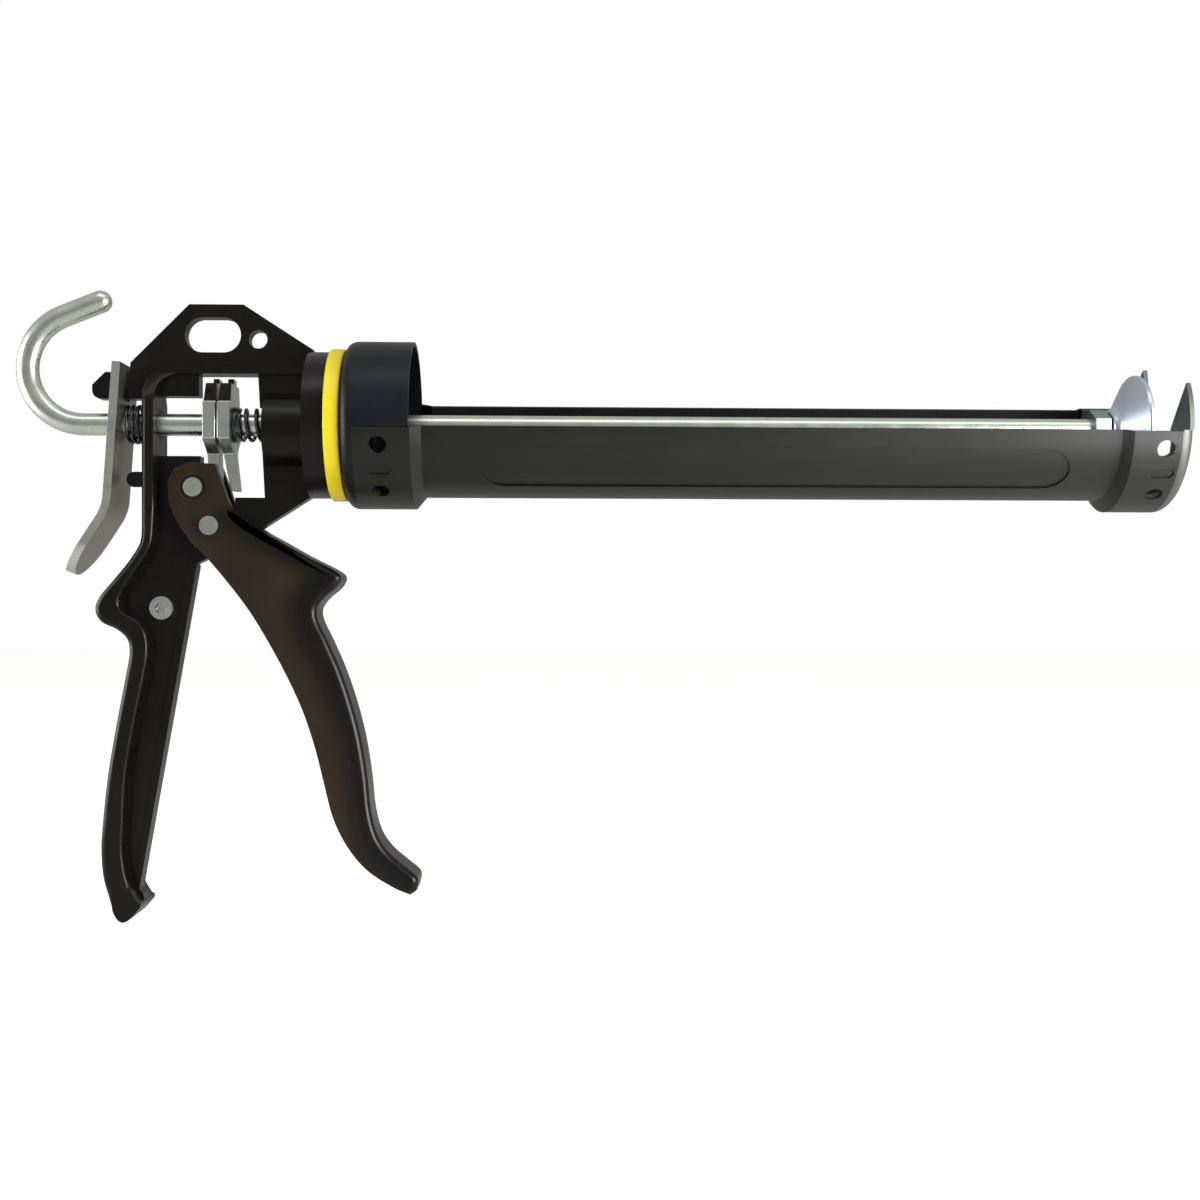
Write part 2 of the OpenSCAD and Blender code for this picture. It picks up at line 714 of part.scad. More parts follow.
module grip_lip() {
    upright(lip_thick) polygon(grip_points([
        grip_front_top + [-1, 2], grip_front_top,
        grip_front_low, grip_front_low - [2, 0], grip_front_top + [-3, 0]
    ]));
    // The lip ends in a small toe in front of the rim
    upright(lip_thick) polygon(grip_points([
        grip_front_low - [1.2, 0], grip_front_low, [-74.6, -168.6], [-74, -170.6], [-74.4, -172.6],
        [-76.4, -174.6], [-80, -174.6]
    ]));
}

module body_casting() {
    color("#2a2622") difference() {
        union() {
            difference() {
                union() {
                    upright(web_thick) web_outline();
                    upright(band_width) translate([-post_back + arch_r, window_top])
                        square([post_back - arch_r + flange_back + past, band_thick]);
                }
                upright(rim_width) window_outline();
            }
            rear_rim();
            grip_lip();
            // Lug that the release plate hangs on
            upright(lug_width) polygon(concat(
                [
                    [past - lug_face, lug_low], [past - lug_face, lug_top], [lug_slope - lug_back, lug_top],
                    [-lug_back, lug_top - lug_slope]
                ],
                arc([lug_round - lug_back, lug_low + lug_round], lug_round, 180, 270)
            ));
            // Boss, flange and spigot
            intersection() {
                translate([0, 0, -boss_drop]) along_x(boss_r, -boss_back, flange_back + past);
                along_x(flange_r, -boss_back, flange_back + past);
            }
            along_x(flange_r, flange_back, flange_front);
            along_x(spigot_r, flange_front - past, spigot_reach);
            across_y(6, trigger_gap - 2 * side_gap, -pivot_back, -pivot_drop);
        }
        // Bushes and spring pocket on the rod axis
        along_x(bush_outer_r, -post_back - past, window_left + past);
        along_x(bush_outer_r, window_front - past, spigot_reach + past);
        along_x(drive_spring_d / 2 + side_gap, window_front - past, spring_seat);
        // Stop peg, pivot pin and grip screw
        translate([0, 0, -peg_drop]) along_x(peg_shank_d / 2, -post_back - past, peg_shank_depth - post_back);
        across_y(pin_d / 2, rim_width, -pivot_back, -pivot_drop);
        across_y(grip_screw_d / 2, rim_width, -grip_screw_back, -grip_screw_drop);
        // Hanging slot and hole
        translate([-hang_slot_back, 0, hang_slot_level]) upright(rim_width)
            stadium(hang_slot_length, hang_slot_height);
        across_y(hang_hole_d / 2, rim_width, -hang_hole_back, hang_hole_level);
    }
}

module rod_bush_front() {
    color("#4a463f") tube_x(bush_outer_r, bush_bore_r, spring_seat, spigot_reach);
}

module rod_bush_rear() {
    color("#4a463f") tube_x(bush_outer_r, bush_bore_r, -post_back, window_left);
}

module stop_peg() {
    color("#1c1c1c") translate([0, 0, -peg_drop]) {
        along_x(peg_shank_d / 2, -post_back - past, peg_shank_depth - post_back);
        along_x(peg_d / 2, -post_back - peg_length + peg_d / 2, -post_back);
        translate([-post_back - peg_length + peg_d / 2, 0, 0]) sphere(d = peg_d);
    }
}

module grip_screw() {
    color("#cfd0c8") translate([-grip_screw_back, 0, -grip_screw_drop]) difference() {
        union() {
            translate([0, -web_thick / 2 - past, 0]) rotate([-90, 0, 0])
                cylinder(d = grip_screw_d, h = web_thick + grip_nut_thick + 2 * past);
            translate([0, -web_thick / 2, 0]) rotate([90, 0, 0])
                cylinder(d = grip_head_d, h = grip_head_thick);
        }
        translate([0, -web_thick / 2 - grip_head_thick - past, 0]) rotate([-90, 0, 0])
            cylinder(d = grip_socket_d, h = 0.7 * grip_head_thick + past, $fn = 6);
    }
}

module grip_nut() {
    color("#cfd0c8") translate([-grip_screw_back, web_thick / 2, -grip_screw_drop]) rotate([-90, 0, 0])
        difference() {
            cylinder(d = grip_nut_flats / cos(30), h = grip_nut_thick, $fn = 6);
            translate([0, 0, -past]) cylinder(d = grip_screw_d, h = grip_nut_thick + 2 * past);
        }
}

module friction_ring() {
    color("#f0d80c") tube_x(ring_outer_r, spigot_r, flange_front, ring_front);
}

module spigot_washer() {
    color("#c9cac4") tube_x(spigot_washer_r, spigot_r, washer_back, spigot_nut_back);
}

module spigot_nut() {
    color("#c9cac4") nut_x(spigot_nut_flats, spigot_r, spigot_nut_back, spigot_nut_back + spigot_nut_thick);
}

// ---------- plunger ----------

// A round joint a hair wider than the rod, which the rod's stretches run into
module rod_joint() {
    sphere(r = rod_r + 0.02);
}

module plunger_rod() {
    inset = 0.1;
    inset_angle = inset / hook_r * 180 / PI;
    color("#cdd3cb") {
        along_x(rod_r, -hook_start + inset, rod_shoulder);
        along_x(rod_thread_d / 2, rod_shoulder - past, rod_end);
        translate([-hook_start, 0, 0]) rod_joint();
        translate([-hook_start, 0, hook_r]) rotate([90, hook_sweep - 270, 0]) {
            rotate([0, 0, inset_angle]) rotate_extrude(angle = hook_sweep - 2 * inset_angle, $fn = 128)
                translate([hook_r, 0]) circle(r = rod_r);
            translate([hook_r, 0, 0]) {
                rod_joint();
                translate([0, -inset, 0]) rotate([90, 0, 0])
                    cylinder(r = rod_r, h = hook_tip_length - 2 * inset);
                translate([0, -hook_tip_length, 0]) rod_joint();
            }
        }
    }
}

module piston_rear_nut() {
    color("#b9c0c2") nut_x(piston_nut_flats, rod_thread_d / 2, rod_shoulder, rod_shoulder + piston_nut_thick);
}

module piston_front_nut() {
    color("#b9c0c2")
        nut_x(piston_nut_flats, rod_thread_d / 2, piston_nut_back, piston_nut_back + piston_lock_thick);
}

// Dished plate: a shallow cone opening forward from a raised hub to a straight rim
module piston_plate() {
    floor_r = piston_washer_r + side_gap;
    flare = 1.6;
    cone_foot = [piston_hub_r + flare, piston_hub_rise];
    rim_foot = [piston_r, piston_depth - piston_rim];
    slope = (rim_foot[1] - cone_foot[1]) / (rim_foot[0] - cone_foot[0]);
    // The inner side lies one sheet thickness inside the cone
    rise = piston_wall * sqrt(1 + slope * slope);
    function inner(r) = cone_foot[1] + (r - cone_foot[0]) * slope + rise;
    color("#b4bfca") translate([piston_back, 0, 0]) difference() {
        turned() polygon([
            [0, 0], [piston_hub_r - 1, 0], [piston_hub_r, 0.3],
            [piston_hub_r + flare / 3, piston_hub_rise / 2], cone_foot, rim_foot,
            [piston_r, piston_depth], [piston_r - piston_wall, piston_depth],
            [piston_r - piston_wall, inner(piston_r - piston_wall)],
            [floor_r + flare, inner(floor_r + flare)],
            [floor_r, piston_hub_rise + piston_wall], [0, piston_hub_rise + piston_wall]
        ]);
        along_x(rod_thread_d / 2 + running, -past, piston_hub_rise + piston_wall + past);
    }
}

module piston_washer() {
    color("#c9cac4")
        tube_x(piston_washer_r, rod_thread_d / 2 + running, piston_seat, piston_seat + piston_washer_thick);
}

// ---------- drive ----------

// A plate that the rod passes through, seen along X: wide at the rod, narrow above and below
module drive_plate_outline() {
    top_ease = 1.4;
    right = [
        [tail_width / 2, -drive_plate_tail], [tail_width / 2, -plate_shoulder - 5],
        [drive_plate_width / 2, -plate_shoulder], [drive_plate_width / 2, plate_step],
        [drive_plate_top_width / 2, plate_step], [drive_plate_top_width / 2 - top_ease, drive_plate_top],
        [plate_nub_width / 2, drive_plate_top], [plate_nub_width / 2, drive_plate_top + plate_nub_height]
    ];
    polygon(concat(right, reversed([for (p = right) [-p[0], p[1]]])));
}

module drive_plate(back, lean) {
    tail_thick = drive_plate_thick - lean / 2;
    nub_top = drive_plate_top + plate_nub_height;
    nub_back = drive_plate_thick - plate_nub_thick;
    translate([back, 0, 0]) difference() {
        intersection() {
            rotate([90, 0, 90]) linear_extrude(drive_plate_thick + lean) drive_plate_outline();
            // Seen from the side the tail leans forward, and the nub stands on the front half
            upright(drive_plate_width + past) polygon([
                [0, -plate_shoulder], [lean, -drive_plate_tail], [lean + tail_thick, -drive_plate_tail],
                [drive_plate_thick, -plate_shoulder - 2], [drive_plate_thick, nub_top],
                [nub_back, nub_top], [nub_back, drive_plate_top], [0.6, drive_plate_top], [0, plate_step]
            ]);
        }
        along_x(rod_r + plate_bore_clearance, -past, drive_plate_thick + past);
    }
}

module drive_plate_rear() {
    color("#c4c8bf") drive_plate(-drive_plate_back, tail_lean);
}

module drive_plate_front() {
    color("#c4c8bf") drive_plate(drive_front_back, tail_lean + tail_spread);
}

module spring_washer() {
    color("#8d8f8a")
        tube_x(drive_spring_d / 2 + 0.3, rod_r + plate_bore_clearance, spring_washer_back, drive_spring_back);
}

module drive_spring() {
    color("#9a9c98")
        coil(drive_spring_d, drive_wire_d, drive_spring_back + 0.1, spring_seat - 0.1, drive_spring_turns);
}

// ---------- trigger ----------

// The outlines below are drawn with the tip at this drop, and stretched to the drop that is wanted
drawn_trigger = 132.3;
trigger_level = -40;
function trigger_points(points) = stretched(points, trigger_level, drawn_trigger, trigger_drop);

// The hand side of the trigger, from the head down to the curled tip
function trigger_front() = smooth([
    [2, 22.1], [4.8, 14.7], [7.4, 7.7], [11.8, 2.7], [17.6, -1.2], [25.8, -5.7], [35, -10.9],
    [43.8, -15.3], [47.2, -18.1], [45.8, -21.9], [41.2, -25.9], [38.6, -29.9], [39.2, -34.3],
    [42.4, -40.9], [47.2, -51.9], [51.4, -64.3], [54.6, -76.9], [56.8, -90.3], [58, -101.7],
    [60.4, -110.9], [64.6, -117.1], [70.4, -122.1], [74.8, -126.1], [74.4, -130.7]
]);

// The back side of the trigger, from the head down to the tip
function trigger_back() = smooth([
    [-14.8, 13.8], [-13.5, 5.7], [-7.2, -4.9], [-1.6, -10.7], [6.2, -19.9], [14.4, -30.7], [21.8, -42.9],
    [28.1, -54.7], [33.6, -66.9], [38, -80.3], [41.4, -93.9], [44.4, -105.1], [49.4, -115.1],
    [56.4, -123.5], [65.8, -129.7], [72, -drawn_trigger]
]);

// The wide front rim starts at this height, and this is the line behind it
rim_top = 7.7;

function trigger_rim_back() = smooth([
    [7, 5.7], [12.4, -0.5], [24, -9.1], [36.8, -16.5], [35.8, -21.3], [31.8, -26.7], [32.6, -33.9],
    [37.8, -45.3], [43, -56.3], [47, -66.5], [50.2, -78.3], [52.6, -91.3], [53.8, -102.5], [56.2, -112.7],
    [61, -120.5], [67, -126.3], [70.8, -129.9]
]);

module trigger_outline() {
    polygon(trigger_points(concat(
        trigger_front(),
        reversed(trigger_back()),
        arc([-drive_pin_behind, drive_pin_above], head_r, 176, 92, 8)
    )));
}

// The shapes below are drawn from the pivot pin
module trigger() {
    color("#3a332b") translate([-pivot_back, 0, -pivot_drop]) difference() {
        union() {
            upright(2 * trigger_half) trigger_outline();
            upright(trigger_rim_width) polygon(trigger_points(concat(
                [for (p = trigger_front()) if (p[1] < rim_top) p], reversed(trigger_rim_back())
            )));
        }
        // Open channel between the two side walls
        upright(trigger_gap) polygon(trigger_points(concat(
            [[-40, 29], [22, 29], [22, -1.7], [16.9, -4.7]],
            [for (p = trigger_rim_back()) if (p[1] < -8 && p[1] > -119) p - [trigger_rim_thick / 2, 0]],
            [[50, -129], [-40, -129]]
        )));
        across_y(pin_d / 2 + running, trigger_rim_width, 0, 0);
        across_y(pin_d / 2, trigger_rim_width, -drive_pin_behind, drive_pin_above);
        for (side = [-1, 1]) translate([0, side * trigger_half, 0])
            across_y(pin_recess_d / 2, 2 * pin_recess_depth, -drive_pin_behind, drive_pin_above);
    }
}

// A headed pin along Y; reach is where its head's underside and its ring sit from the middle
module headed_pin(x, z, reach) {
    translate([x, -reach, z]) rotate([90, 0, 0]) cylinder(d = pin_head_d, h = pin_head_thick);
    translate([x, reach + 2 * pin_head_thick, z]) rotate([90, 0, 0])
        cylinder(d = pin_d, h = 2 * reach + 2 * pin_head_thick);
}

module pin_ring(x, z, reach) {
    translate([x, reach, z]) rotate([-90, 0, 0]) difference() {
        cylinder(d = pin_head_d + 1, h = pin_head_thick);
        translate([0, 0, -past]) cylinder(d = pin_d, h = pin_head_thick + 2 * past);
    }
}

module trigger_pin() {
    color("#d8dace") headed_pin(-pivot_back, -pivot_drop, pivot_reach);
}

module trigger_pin_ring() {
    color("#b9bab2") pin_ring(-pivot_back, -pivot_drop, pivot_reach);
}

module drive_pin() {
    color("#d8dace") headed_pin(-drive_pin_back, -drive_pin_drop, drive_reach);
}

module drive_pin_ring() {
    color("#b9bab2") pin_ring(-drive_pin_back, -drive_pin_drop, drive_reach);
}

module drive_roller() {
    color("#8a8c88") difference() {
        across_y(roller_d / 2, trigger_gap - 2 * side_gap, -drive_pin_back, -drive_pin_drop);
        across_y(pin_d / 2 + running, trigger_gap, -drive_pin_back, -drive_pin_drop);
    }
}

// ---------- release ----------

// The release plate seen from the side, its front face on the Z axis and its thumb end bent back
module release_profile() {
    outer_r = release_bend_r + release_thick;
    bend_start = -release_upper + outer_r * tan(release_bend / 2);
    straight = release_lower - outer_r * tan(release_bend / 2);
    centre = [-outer_r, bend_start];
    along = straight * [-sin(release_bend), -cos(release_bend)];
    front = arc(centre, outer_r, 0, -release_bend);
    rear = arc(centre, release_bend_r, 0, -release_bend);
    polygon(concat(
        [[0, release_top]], front, [front[len(front) - 1] + along],
        [rear[len(rear) - 1] + along], reversed(rear), [[-release_thick, release_top]]
    ));
}

module release_plate() {
    slot_low = (lug_top - lug_low) / cos(release_lean) + slot_gap;
    end_r = release_width / 2;
    end_level = -release_upper - release_lower * cos(release_bend) + end_r;
    reach = release_lower + release_thick;
    // The rod's hole is centred on the rod half way through the leaning plate
    rod_at = lug_top * cos(release_lean)
        + (lug_top * sin(release_lean) + release_thick / 2) * tan(release_lean);
    color("#cdd0c4") translate(release_pivot) rotate([0, release_lean, 0]) difference() {
        intersection() {
            upright(release_width + past) release_profile();
            translate([-reach, 0, 0]) rotate([90, 0, 90]) linear_extrude(reach + past) polygon(concat(
                arc([0, end_level], end_r, -180, 0, 24),
                [[end_r, release_top + past], [-end_r, release_top + past]]
            ));
        }
        translate([-release_thick - past, -lug_width / 2 - side_gap, -slot_low])
            cube([release_thick + 2 * past, lug_width + 2 * side_gap, slot_low + slot_gap]);
        translate([0, 0, -rod_at]) along_x(rod_r + 2 * side_gap, -release_thick - past, past);
    }
}

module release_spring() {
    color("#a9aca6")
        coil(release_spring_d, release_wire_d, release_spring_back, -post_back - 0.1, release_spring_turns);
}

body_casting();
rod_bush_front();
rod_bush_rear();
stop_peg();
grip_screw();
grip_nut();
friction_ring();
spigot_washer();
spigot_nut();
trigger_pin();
trigger_pin_ring();
barrel_cup();
barrel_shell();
front_cap();
plunger_rod();
piston_rear_nut();
piston_front_nut();
piston_plate();
piston_washer();
drive_plate_rear();
drive_plate_front();
spring_washer();
drive_spring();
trigger();
drive_pin();
drive_pin_ring();
drive_roller();
release_plate();
release_spring();
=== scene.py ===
import math

import bpy
from mathutils import Matrix, Vector


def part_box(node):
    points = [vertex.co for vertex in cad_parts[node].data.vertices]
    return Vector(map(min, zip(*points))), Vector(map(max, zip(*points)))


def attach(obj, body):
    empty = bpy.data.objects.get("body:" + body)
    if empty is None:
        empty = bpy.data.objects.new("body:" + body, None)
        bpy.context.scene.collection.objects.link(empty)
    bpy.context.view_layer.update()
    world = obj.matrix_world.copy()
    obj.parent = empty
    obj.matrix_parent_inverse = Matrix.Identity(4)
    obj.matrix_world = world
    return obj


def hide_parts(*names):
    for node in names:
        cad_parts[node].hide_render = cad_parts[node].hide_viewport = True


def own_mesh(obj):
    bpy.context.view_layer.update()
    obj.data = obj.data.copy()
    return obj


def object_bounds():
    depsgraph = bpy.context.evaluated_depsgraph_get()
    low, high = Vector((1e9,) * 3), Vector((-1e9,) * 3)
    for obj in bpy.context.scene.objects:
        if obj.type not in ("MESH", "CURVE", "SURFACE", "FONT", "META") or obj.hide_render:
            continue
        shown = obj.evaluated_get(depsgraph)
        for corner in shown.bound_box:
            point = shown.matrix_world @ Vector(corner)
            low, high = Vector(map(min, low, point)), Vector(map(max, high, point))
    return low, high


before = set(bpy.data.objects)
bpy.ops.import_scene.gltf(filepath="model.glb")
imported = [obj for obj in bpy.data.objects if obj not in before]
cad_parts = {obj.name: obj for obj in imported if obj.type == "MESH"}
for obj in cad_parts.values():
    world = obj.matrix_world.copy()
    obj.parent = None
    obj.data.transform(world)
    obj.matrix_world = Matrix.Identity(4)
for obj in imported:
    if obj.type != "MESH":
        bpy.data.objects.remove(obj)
cad_low, cad_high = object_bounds()


# ---------- The view ----------
# A level camera on the gun's right-hand side, a little over half a metre from the rod and
# just below it, turned slightly toward the muzzle.

bpy.context.scene.view_settings.view_transform = "Standard"

sight = bpy.data.cameras.new("side_view")
sight.sensor_width = 36
sight.lens = 46.1
sight.clip_start = 0.02
camera = bpy.data.objects.new("side_view", sight)
camera.location = (0.0728, -0.5606, -0.0630)
camera.rotation_euler = (math.radians(90), math.radians(-0.14), math.radians(-1.73))
bpy.context.scene.collection.objects.link(camera)
bpy.context.scene.camera = camera


# ---------- The room ----------
# A white table top that the grip's toe just clears, a white dome that is dimmer toward the
# floor, a long softbox over the gun, a tall one past its muzzle and a large one well behind,
# clear of the rod when it is drawn right back.

def linear(code):
    """The linear colour of an sRGB hex value."""
    parts = [int(code[i:i + 2], 16) / 255 for i in (1, 3, 5)]
    return [p / 12.92 if p <= 0.04045 else ((p + 0.055) / 1.055) ** 2.4 for p in parts] + [1]


def put(tree, kind, settings=(), **wires):
    """Adds a node. Settings are properties or input values by name, and wires feed inputs.

    In a wire's name a space is written _, and iN is the input numbered N.
    """
    node = tree.nodes.new("ShaderNode" + kind)
    for name, value in dict(settings).items():
        if isinstance(name, str) and hasattr(node, name):
            setattr(node, name, value)
        else:
            node.inputs[name].default_value = value
    for name, source in wires.items():
        key = int(name[1:]) if name[0] == "i" and name[1:].isdigit() else name.replace("_", " ")
        tree.links.new(source, node.inputs[key])
    return node


dome = bpy.data.worlds.new("white_dome")
bpy.context.scene.world = dome
dome.use_nodes = True
tree = dome.node_tree
tree.nodes.clear()
way = put(tree, "TexCoord")
height = put(tree, "SeparateXYZ", Vector=way.outputs["Generated"])
level = put(tree, "MapRange", {"From Min": -0.7, "From Max": 0.8, "To Min": 0.04, "To Max": 0.55},
            Value=height.outputs["Z"])
ray = put(tree, "LightPath")
seen = put(tree, "Mix", {"data_type": "FLOAT", "B": 1.0}, Factor=ray.outputs["Is Camera Ray"],
           A=level.outputs["Result"])
glow = put(tree, "Background", {"Color": linear("#ffffff")}, Strength=seen.outputs[0])
put(tree, "OutputWorld", Surface=glow.outputs[0])

bpy.ops.object.select_all(action="DESELECT")
bpy.ops.mesh.primitive_plane_add(size=6, location=(0.1, 0, cad_low.z - 0.002))
bpy.ops.object.transform_apply(location=True, rotation=True, scale=True)
table = bpy.context.object
table.name = "table_top"
paint = bpy.data.materials.new("matt_white_table")
paint.use_nodes = True
tree = paint.node_tree
shine = tree.nodes["Principled BSDF"]
shine.inputs["Base Color"].default_value = linear("#c9c9c7")
shine.inputs["Roughness"].default_value = 0.9
shine.inputs["Emission Color"].default_value = linear("#ffffff")
ray = put(tree, "LightPath")
lift = put(tree, "Math", {"operation": "MULTIPLY", 1: 0.68}, i0=ray.outputs["Is Camera Ray"])
tree.links.new(lift.outputs[0], shine.inputs["Emission Strength"])
table.data.materials.append(paint)

for name, place, aim, size, power in (
        ("over_softbox", (0.15, -0.45, 0.95), (0.1, 0, 0), (1.3, 0.35), 2.6),
        ("muzzle_softbox", (0.54, -0.27, -0.02), (0.29, 0, -0.01), (0.3, 0.42), 6.6),
        ("rear_softbox", (-0.64, -0.08, -0.16), (-0.09, 0, -0.1), (0.5, 0.9), 9.0)):
    lamp = bpy.data.lights.new(name, "AREA")
    lamp.shape = "RECTANGLE"
    lamp.size, lamp.size_y = size
    lamp.energy = power
    box = bpy.data.objects.new(name, lamp)
    box.location = place
    box.rotation_euler = (Vector(aim) - Vector(place)).to_track_quat("-Z", "Y").to_euler()
    bpy.context.scene.collection.objects.link(box)


# ---------- Frame casting ----------
# The frame is one aluminium die casting: grip, rear post, window, boss, flange and spigot.
# It is powder coated in semi-gloss black, which softens every edge and gives a fine skin.

def only(piece):
    """Leaves one object selected and active."""
    bpy.ops.object.select_all(action="DESELECT")
    piece.select_set(True)
    bpy.context.view_layer.objects.active = piece


def modify(piece, kind, **settings):
    """Adds a modifier to a piece and applies it."""
    only(piece)
    bpy.ops.object.modifier_add(type=kind)
    step = piece.modifiers[-1]
    for name, value in settings.items():
        setattr(step, name, value)
    bpy.ops.object.modifier_apply(modifier=step.name)


def ease(piece, width, turn=28, segments=2, edge_highlight_finish=None):
    """Breaks a piece's edges by a width in metres and shades its faces evenly."""
    # An edge finish, when given, goes on the bevel faces as a painted highlight along the edges
    if edge_highlight_finish:
        piece.data.materials.append(edge_highlight_finish)
        piece.data.materials.append(edge_highlight_finish)
    modify(piece, "BEVEL", width=width, segments=segments, limit_method="ANGLE",
           angle_limit=math.radians(turn), miter_outer="MITER_ARC", use_clamp_overlap=True,
           material=1 if edge_highlight_finish else -1)
    only(piece)
    bpy.ops.object.shade_smooth_by_angle(angle=math.radians(42))
    modify(piece, "WEIGHTED_NORMAL", keep_sharp=True, weight=60)


def solid_copy(node, name):
    """A copy of a CAD solid with its triangles joined into whole faces."""
    flat = math.radians(0.5)
    piece = bpy.data.objects.new(name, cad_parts[node].data.copy())
    bpy.context.scene.collection.objects.link(piece)
    piece.data.materials.clear()
    only(piece)
    bpy.ops.object.mode_set(mode="EDIT")
    bpy.ops.mesh.select_all(action="SELECT")
    bpy.ops.mesh.customdata_custom_splitnormals_clear()
    bpy.ops.mesh.remove_doubles(threshold=2e-6)
    bpy.ops.mesh.dissolve_limited(angle_limit=flat)
    bpy.ops.object.mode_set(mode="OBJECT")
    return piece


def round_over(piece, width, choose, segments=5):
    """Rounds the edges between a face and its neighbour that a rule picks by place and normals."""
    only(piece)
    bpy.ops.object.mode_set(mode="EDIT")
    bpy.ops.mesh.select_mode(type="EDGE")
    bpy.ops.mesh.select_all(action="DESELECT")
    bpy.ops.object.mode_set(mode="OBJECT")
    mesh = piece.data
    sides = {}
    for face in mesh.polygons:
        for key in face.edge_keys:
            sides.setdefault(key, []).append(face.normal)
    for edge in mesh.edges:
        normals = sides.get(edge.key, ())
        middle = (mesh.vertices[edge.vertices[0]].co + mesh.vertices[edge.vertices[1]].co) / 2
        edge.select = len(normals) == 2 and (
            choose(middle, *normals) or choose(middle, *normals[::-1]))
    bpy.ops.object.mode_set(mode="EDIT")
    bpy.ops.mesh.bevel(offset=width, segments=segments, affect="EDGES", clamp_overlap=False)
    bpy.ops.mesh.select_mode(type="VERT")
    bpy.ops.object.mode_set(mode="OBJECT")


def face_finish(piece, finish, choose):
    """Gives a second finish to the faces that a rule picks by middle and normal."""
    while len(piece.data.materials) < 2:
        piece.data.materials.append(finish)
    piece.data.materials.append(finish)
    for face in piece.data.polygons:
        if choose(face.center, face.normal):
            face.material_index = len(piece.data.materials) - 1


def fit(piece, node, body, finish):
    """Gives a piece its finish and puts it in the place of a CAD node."""
    if len(piece.data.materials) > 1:
        piece.data.materials[0] = finish
    else:
        piece.data.materials.clear()
        piece.data.materials.append(finish)
    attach(piece, body)
    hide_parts(node)


def new_finish(name, colour, metallic, roughness, **more):
    """A material with its constant values set on the shader, and its node tree."""
    finish = bpy.data.materials.new(name)
    finish.use_nodes = True
    shader = finish.node_tree.nodes["Principled BSDF"]
    shader.inputs["Base Color"].default_value = linear(colour)
    shader.inputs["Metallic"].default_value = metallic
    shader.inputs["Roughness"].default_value = roughness
    for socket, value in more.items():
        shader.inputs[socket.replace("_", " ")].default_value = value
    return finish, finish.node_tree, shader


def mottled(tree, shader, place, low, high, grain_mm, rough_low, rough_high):
    """Clouds a finish between two colours and two roughnesses, with clouds of a real size."""
    cloud = put(tree, "TexNoise", {"Scale": 1000 / grain_mm, "Detail": 4.0, "Roughness": 0.6},
                Vector=place)
    blend = put(tree, "Mix", {"data_type": "RGBA"}, Factor=cloud.outputs["Fac"])
    blend.inputs[6].default_value = linear(low)
    blend.inputs[7].default_value = linear(high)
    tree.links.new(blend.outputs[2], shader.inputs["Base Color"])
    rough = put(tree, "MapRange", {"From Min": 0.3, "From Max": 0.7, "To Min": rough_low,
                                   "To Max": rough_high}, Value=cloud.outputs["Fac"])
    tree.links.new(rough.outputs["Result"], shader.inputs["Roughness"])


def skin(tree, shader, place, grain_mm, depth_mm):
    """Raises a fine skin on a finish: its grain and depth are real sizes."""
    grain = put(tree, "TexNoise", {"Scale": 1000 / grain_mm, "Detail": 2.0}, Vector=place)
    bump = put(tree, "Bump", {"Strength": 1.0, "Distance": depth_mm / 1000}, Height=grain.outputs["Fac"])
    tree.links.new(bump.outputs["Normal"], shader.inputs["Normal"])


# Powder coat on die-cast aluminium: near black with a warm cast, orange peel of about 1 mm,
# satin where it lies thin and handled.
casting_coat, tree, shader = new_finish(
    "powder_coated_casting", "#0d0a08", 0, 0.28, Specular_IOR_Level=0.24)
place = put(tree, "TexCoord").outputs["Object"]
mottled(tree, shader, place, "#080706", "#15110d", 14, 0.24, 0.34)
skin(tree, shader, place, 0.9, 0.02)

# The same coat on the bevelled edges, smoother and paler: its paler colour is a painted highlight along
# every edge
edge_highlight_coat, tree, shader = new_finish("coat_with_painted_edge_highlight", "#433d35", 0, 0.27, Specular_IOR_Level=1.0)
place = put(tree, "TexCoord").outputs["Object"]
mottled(tree, shader, place, "#2b2721", "#5a5348", 3, 0.2, 0.34)

casting = solid_copy("body_casting", "frame_casting")

# The rim's side faces stand this far from the middle plane. Its back edge is rounded from the
# rear post down to the toe, and its front edge, less so, down the grip alone.
rim_side, on_rim = 0.0102, 0.0002
back_low, back_high = -0.171, 0.004
front_low, front_high = -0.166, -0.03
round_over(casting, 0.0024, lambda at, side, other: (
    abs(side.y) > 0.99 and abs(abs(at.y) - rim_side) < on_rim
    and other.x < -0.15 and back_low < at.z < back_high))
round_over(casting, 0.0014, lambda at, side, other: (
    abs(side.y) > 0.99 and abs(abs(at.y) - rim_side) < on_rim
    and other.x > 0.3 and front_low < at.z < front_high), segments=4)
ease(casting, 0.0005, turn=30, edge_highlight_finish=edge_highlight_coat)
fit(casting, "body_casting", "frame", casting_coat)


# ---------- Rod bushes ----------
# Two sleeves of sintered iron that are pressed into the casting and that the rod slides in.
# The metal is dull and pored, and dark with oil.
bush_metal, tree, shader = new_finish("oiled_sintered_iron", "#3d3934", 1, 0.5)
place = put(tree, "TexCoord").outputs["Object"]
mottled(tree, shader, place, "#2e2b27", "#4d4842", 0.8, 0.42, 0.6)
skin(tree, shader, place, 0.25, 0.015)
for node in ("rod_bush_front", "rod_bush_rear"):
    bush = solid_copy(node, node + "_sleeve")
    ease(bush, 0.0002)
    fit(bush, node, "frame", bush_metal)


# ---------- Stop peg ----------
# A black rubber buffer on a shank in the rear post, which stops the release plate.
peg_rubber, tree, shader = new_finish("moulded_rubber", "#1b1b1a", 0, 0.7, Specular_IOR_Level=0.3)
place = put(tree, "TexCoord").outputs["Object"]
mottled(tree, shader, place, "#171716", "#262625", 2.5, 0.6, 0.8)
skin(tree, shader, place, 0.3, 0.01)
peg = solid_copy("stop_peg", "stop_buffer")
ease(peg, 0.0003)
fit(peg, "stop_peg", "frame", peg_rubber)


